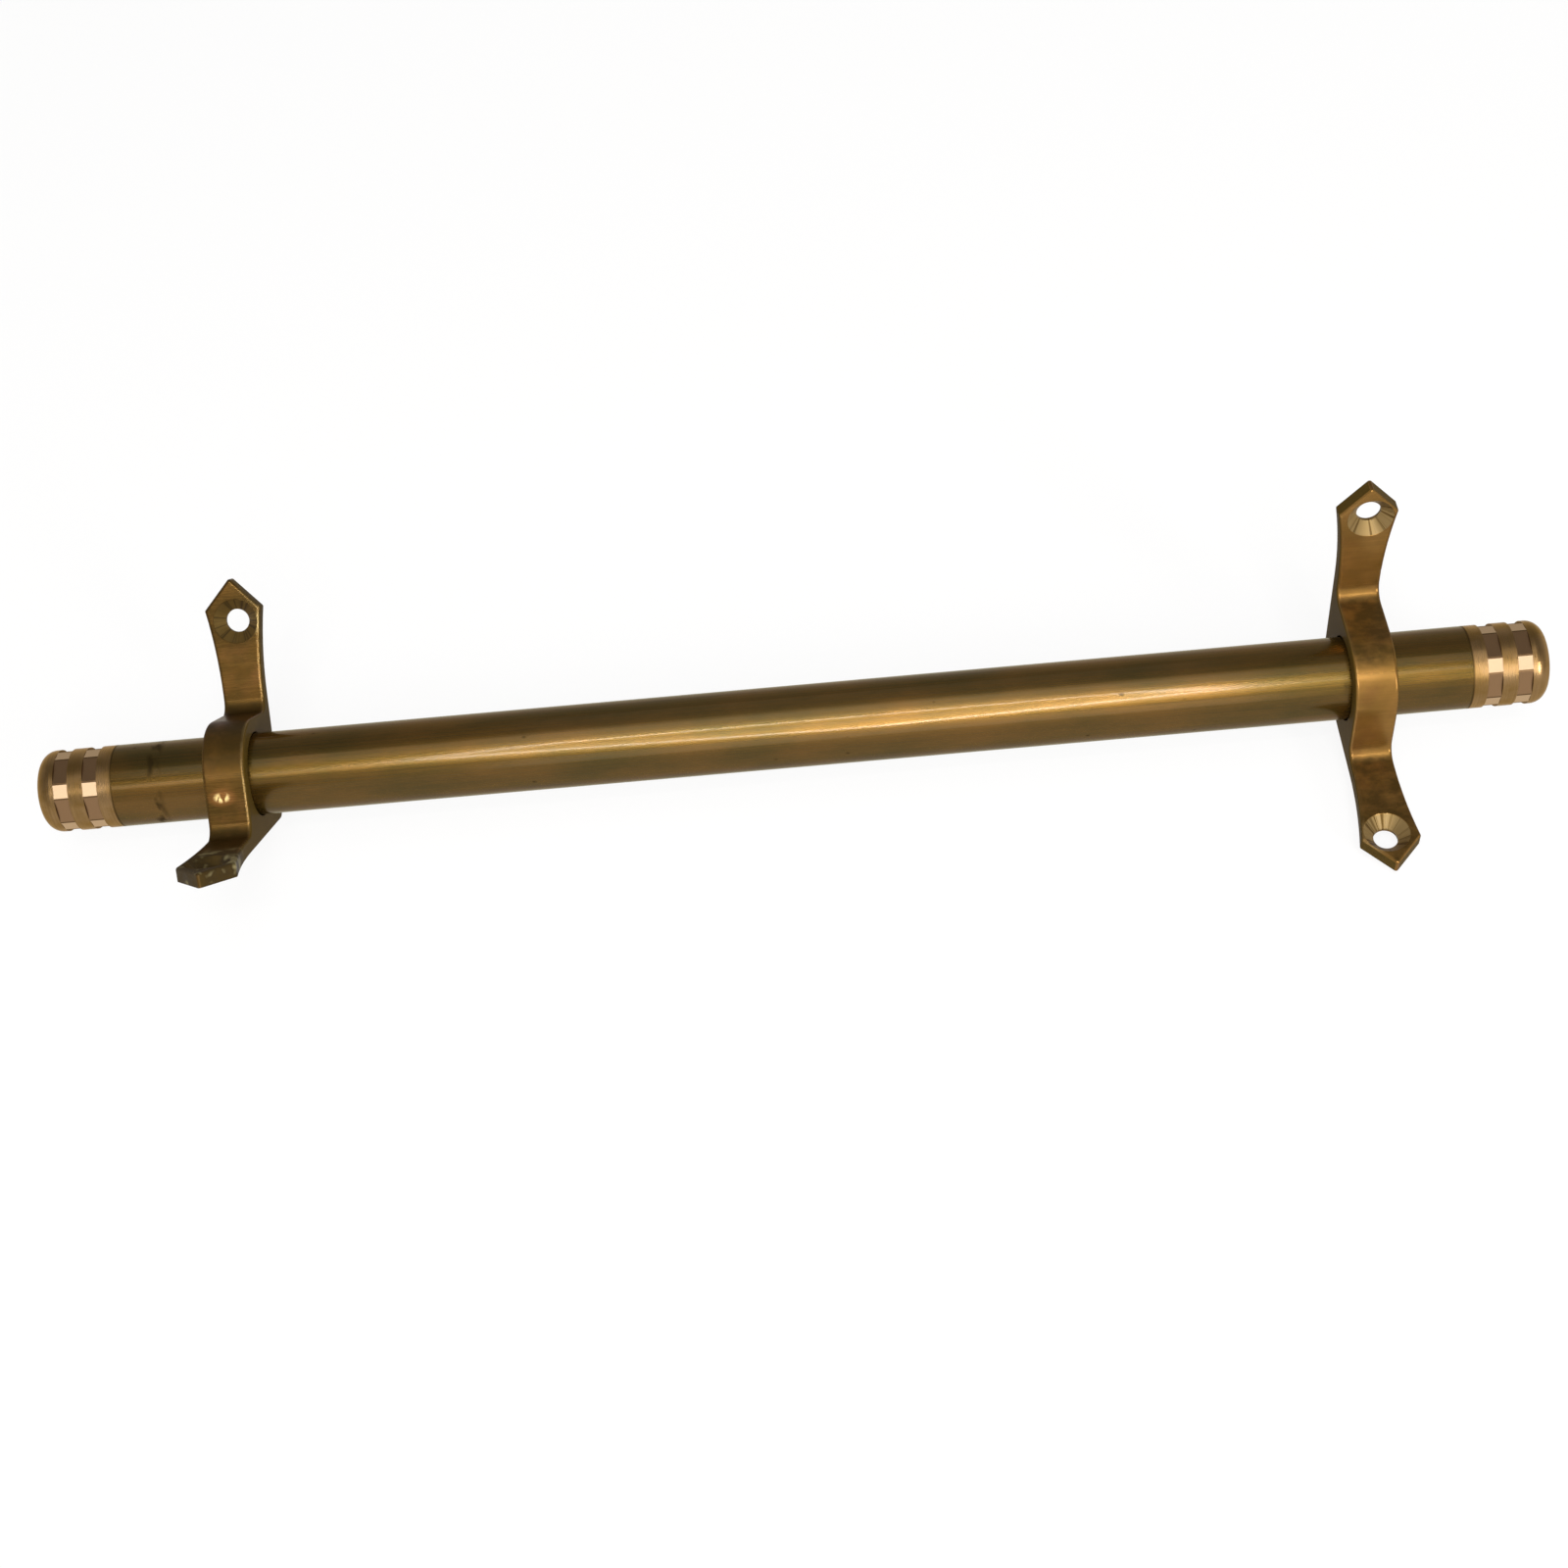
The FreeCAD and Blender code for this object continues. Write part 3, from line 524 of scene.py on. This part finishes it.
        # Painted shade: a dark ring round each countersink, broken up and kept off the bright
        # edges.
        ring = add(tree, "MapRange", {"Value": radius, "From Min": COUNTERSINK_RADIUS,
                                      "From Max": COUNTERSINK_RADIUS + HOLE_SHADE_REACH,
                                      "To Min": finish["hole_shade"], "To Max": 0.0}).outputs[0]
        ring = add(tree, "Math", {0: ring, 1: stain_break}, operation="MULTIPLY").outputs[0]
        ring = add(tree, "Math", {0: ring, 1: clear_of_wear_and_highlight}, operation="MULTIPLY").outputs[0]
        skin = add(tree, "Mix", {SHARE: ring, UNDER_COLOUR: skin, OVER_COLOUR: linear(HOLE_SHADE)},
                   data_type="RGBA").outputs[MIXED_COLOUR]
        sink = add(tree, "Math", {0: cone, 1: front}, operation="MULTIPLY").outputs[0]
        heading = add(tree, "VectorMath", {0: spoke}, operation="NORMALIZE").outputs[0]
        spokes = add(tree, "TexNoise", {"Vector": heading, "Scale": SPOKE_SCALE, "Detail": 3.0,
                                        "Roughness": 0.7}).outputs["Fac"]
        chatter = add(tree, "MapRange", {"Value": spokes, "From Min": 0.52,
                                         "From Max": 0.6}).outputs[0]
        cut = add(tree, "Mix", {SHARE: chatter, UNDER_COLOUR: linear(finish["fresh_cut"]),
                                OVER_COLOUR: linear(finish["dull_cut"])},
                  data_type="RGBA").outputs[MIXED_COLOUR]
        skin = add(tree, "Mix", {SHARE: sink, UNDER_COLOUR: skin, OVER_COLOUR: cut},
                   data_type="RGBA").outputs[MIXED_COLOUR]
        rough = add(tree, "Mix", {SHARE: sink, UNDER_NUMBER: rough,
                                  OVER_NUMBER: CUT_ROUGHNESS}).outputs[MIXED_NUMBER]

    relief = add(tree, "Bump", {"Height": file_lines, "Strength": 0.06,
                                "Distance": 0.02 * MM}).outputs[0]
    dents = add(tree, "Bump", {"Height": patches, "Strength": 0.15, "Distance": 0.2 * MM,
                               "Normal": relief}).outputs[0]
    # Tarnish is an oxide and shines less like metal; so does the skin that the sand left.
    metal = add(tree, "MapRange", {"Value": hollow_tarnish_and_shade, "To Min": 0.62, "To Max": 0.3}).outputs[0]
    metal = add(tree, "Mix", {SHARE: side, UNDER_NUMBER: metal,
                              OVER_NUMBER: SIDE_METAL}).outputs[MIXED_NUMBER]
    shine = {"Base Color": skin, "Metallic": metal, "Roughness": rough, "Normal": dents}

    if soiled_foot:
        reach = add(tree, "VectorMath", {0: place, 1: soiled_foot["pos_m"]},
                    operation="DISTANCE").outputs["Value"]
        near = add(tree, "MapRange", {"Value": reach, "From Min": SOIL_CORE, "From Max": SOIL_END,
                                      "To Min": 1.0, "To Max": 0.0}).outputs[0]
        crust_map = add(tree, "Mapping", {"Vector": place, "Scale": CRUST_SIZE})
        crust = add(tree, "TexNoise", {"Vector": crust_map.outputs[0], "Scale": 1.0, "Detail": 2.0,
                                       "Roughness": 0.6}).outputs["Fac"]
        patchy = add(tree, "MapRange", {"Value": crust, "From Min": 0.3, "From Max": 0.5,
                                        "To Min": 0.5, "To Max": 1.0}).outputs[0]
        soil = add(tree, "Math", {0: near, 1: patchy}, operation="MULTIPLY").outputs[0]
        crumbs = add(tree, "MapRange", {"Value": crust, "From Min": 0.54,
                                        "From Max": 0.66}).outputs[0]
        muck = add(tree, "Mix", {SHARE: crumbs, UNDER_COLOUR: linear(OLD_POLISH),
                                 OVER_COLOUR: linear(POLISH_CRUMB)},
                   data_type="RGBA").outputs[MIXED_COLOUR]
        lumps = add(tree, "Bump", {"Height": crust, "Strength": 0.5, "Distance": 0.25 * MM,
                                   "Normal": dents}).outputs[0]
        shine["Base Color"] = add(tree, "Mix", {SHARE: soil, UNDER_COLOUR: skin,
                                                OVER_COLOUR: muck},
                                  data_type="RGBA").outputs[MIXED_COLOUR]
        shine["Metallic"] = add(tree, "Mix", {SHARE: soil, UNDER_NUMBER: metal,
                                              OVER_NUMBER: SOIL_METAL}).outputs[MIXED_NUMBER]
        shine["Roughness"] = add(tree, "Mix", {SHARE: soil, UNDER_NUMBER: rough,
                                               OVER_NUMBER: SOIL_ROUGHNESS}).outputs[MIXED_NUMBER]
        shine["Normal"] = add(tree, "Mix", {SHARE: near, UNDER_VECTOR: dents, OVER_VECTOR: lumps},
                              data_type="VECTOR").outputs[MIXED_VECTOR]

    shader = add(tree, "BsdfPrincipled", {**shine, "Specular Tint": linear(CAST_BRASS_RIM),
                                          "Coat Weight": 0.05, "Coat Roughness": 0.15})
    add(tree, "OutputMaterial", {"Surface": shader.outputs[0]})
    return material


def holes_of(side):
    """The record's two screw holes of the left or right bracket."""
    return [mount for mount in frame["record"]["mounts"]
            if mount["name"].startswith(side) and mount["name"].endswith("screw_hole")]


left_holes, right_holes = holes_of("left"), holes_of("right")
left_tread_hole = next(hole for hole in left_holes if "tread" in hole["name"])

finishes = {"rod_tube": drawn_tube_brass()}
finishes["left_end_cap"] = finishes["right_end_cap"] = turned_cap_brass()
finishes["left_bracket"] = cast_bracket_brass("cast_brass_filed_left", LEFT_FINISH, left_holes,
                                              soiled_foot=left_tread_hole)
finishes["right_bracket"] = cast_bracket_brass("cast_brass_filed_right", RIGHT_FINISH, right_holes)
for node, finish in finishes.items():
    frame["nodes"][node].material_slots[0].material = finish


# ---------------------------------------------------------------- floor

FLOOR_HALF = 30.0
LOWEST = cad_box[0].z
PAPER = "EFEDEA"
WHITE = "FFFFFF"
WHITE_SHARE = 0.88


def pale_floor_paper():
    """Matt white paper, near white to the camera and in the brass; it keeps a faint shadow."""
    material, tree = new_material("studio_paper_matt")
    paper = add(tree, "BsdfDiffuse", {"Color": linear(PAPER)})
    white = add(tree, "Emission", {"Color": linear(WHITE), "Strength": 1.0})
    path = add(tree, "LightPath")
    seen = add(tree, "Math", {0: path.outputs["Is Camera Ray"], 1: path.outputs["Is Glossy Ray"]},
               operation="MAXIMUM").outputs[0]
    seen = add(tree, "Math", {0: seen, 1: path.outputs["Is Transmission Ray"]},
               operation="MAXIMUM").outputs[0]
    share = add(tree, "Math", {0: seen, 1: WHITE_SHARE}, operation="MULTIPLY").outputs[0]
    mixed = add(tree, "MixShader", {0: share, 1: paper.outputs[0], 2: white.outputs[0]})
    add(tree, "OutputMaterial", {"Surface": mixed.outputs[0]})
    return material


floor_corners = [(FLOOR_HALF * x, FLOOR_HALF * y, LOWEST)
                 for x, y in ((-1, -1), (1, -1), (1, 1), (-1, 1))]
floor_mesh = bpy.data.meshes.new("studio_floor")
floor_mesh.from_pydata(floor_corners, [], [(0, 1, 2, 3)])
floor_mesh.materials.append(pale_floor_paper())
floor = bpy.data.objects.new("studio_floor", floor_mesh)
bpy.context.scene.collection.objects.link(floor)


# ---------------------------------------------------------------- light

# The walls fade into the ceiling up to this height, on a room drawn as a ball of radius 1.
WALL_GREY = 0.8
CEILING_GREY = 0.28
CEILING_HEIGHT = 0.8

LAMP_DISTANCE = 1.2

# Each lamp's name, its two ends as metres along the rod and degrees above the floor, its width
# in metres and its radiance.
LAMPS = (
    ("wide_panel", (-0.66, 42), (0.62, 48), 0.2, 2.1),
    ("inner_panel", (-0.26, 50), (0.32, 50), 0.8, 1.6),
    ("low_panel", (-0.24, 12), (0.32, 12), 0.4, 1.6),
    ("overhead_panel", (-0.5, 76), (0.5, 76), 0.5, 1.1),
    ("overhead_inner", (-0.24, 80), (0.3, 80), 0.6, 1.0),
    ("back_panel", (-0.22, 115), (0.28, 115), 0.9, 0.3),
    # Thin tubes in an eye-shaped ring round the camera leave the two bright lines on the rod.
    ("upper_tube", (-0.2, 59), (0.22, 59), 0.02, 75.0),
    ("upper_tube_left", (-0.29, 48), (-0.2, 59), 0.02, 50.0),
    ("upper_tube_right", (0.22, 59), (0.28, 47), 0.02, 65.0),
    ("lower_tube_left", (-0.29, 46), (0.03, 27), 0.02, 75.0),
    ("lower_tube_right", (0.03, 27), (0.28, 45), 0.02, 100.0),
    # A window to the right brightens the edges that face it.
    ("side_window", (0.62, 26), (0.95, 26), 0.5, 20.0),
)


def studio_world():
    """A room with pale walls and a dim ceiling."""
    world = bpy.data.worlds.new("studio_room")
    world.use_nodes = True
    tree = world.node_tree
    tree.nodes.clear()
    heading = add(tree, "TexCoord").outputs["Generated"]
    height = add(tree, "SeparateXYZ", {0: heading}).outputs["Z"]
    grey = add(tree, "ValToRGB", {0: height})
    wall, ceiling = grey.color_ramp.elements
    wall.position, wall.color = 0.0, (WALL_GREY, WALL_GREY, WALL_GREY, 1)
    ceiling.position, ceiling.color = CEILING_HEIGHT, (CEILING_GREY, CEILING_GREY, CEILING_GREY, 1)
    room = add(tree, "Background", {"Color": grey.outputs[0], "Strength": 1.0})
    add(tree, "OutputWorld", {"Surface": room.outputs[0]})
    return world


def lamp_end(along, rise):
    """A place in front of the rod, at the lamps' distance from its axis."""
    angle = math.radians(rise)
    return Vector((along, -LAMP_DISTANCE * math.cos(angle), LAMP_DISTANCE * math.sin(angle)))


def soft_lamp(name, start, end, width, radiance):
    """A lamp that runs between two places in front of the rod, turned to the rod's middle."""
    first, last = lamp_end(*start), lamp_end(*end)
    middle = (first + last) / 2
    run = last - first
    lengthwise = run.normalized()
    outward = (middle - lengthwise * middle.dot(lengthwise)).normalized()
    turn = Matrix((lengthwise, outward.cross(lengthwise), outward)).transposed()
    lamp = bpy.data.lights.new(name, "AREA")
    lamp.shape = "RECTANGLE"
    lamp.size, lamp.size_y = run.length, width
    lamp.energy = radiance * math.pi * run.length * width
    lamp_object = bpy.data.objects.new(name, lamp)
    lamp_object.matrix_world = Matrix.Translation(middle) @ turn.to_4x4()
    lamp_object.visible_camera = False
    bpy.context.scene.collection.objects.link(lamp_object)


bpy.context.scene.world = studio_world()
for lamp_row in LAMPS:
    soft_lamp(*lamp_row)


# ---------------------------------------------------------------- camera

# Fitted to the rod and both brackets in the photo.
CAMERA_PLACE = (0.0109, -0.30465, 0.3287)
CAMERA_TURN = (41.2439, 4.5028, -2.6966)
CAMERA_LENS = 52.913
CAMERA_SENSOR = 36.0

camera = bpy.data.cameras.new("photo_camera")
camera.lens = CAMERA_LENS
camera.sensor_width = CAMERA_SENSOR
camera_object = bpy.data.objects.new("photo_camera", camera)
camera_object.location = CAMERA_PLACE
camera_object.rotation_euler = [math.radians(angle) for angle in CAMERA_TURN]
bpy.context.scene.collection.objects.link(camera_object)
bpy.context.scene.camera = camera_object
bpy.context.scene.view_settings.view_transform = "Standard"
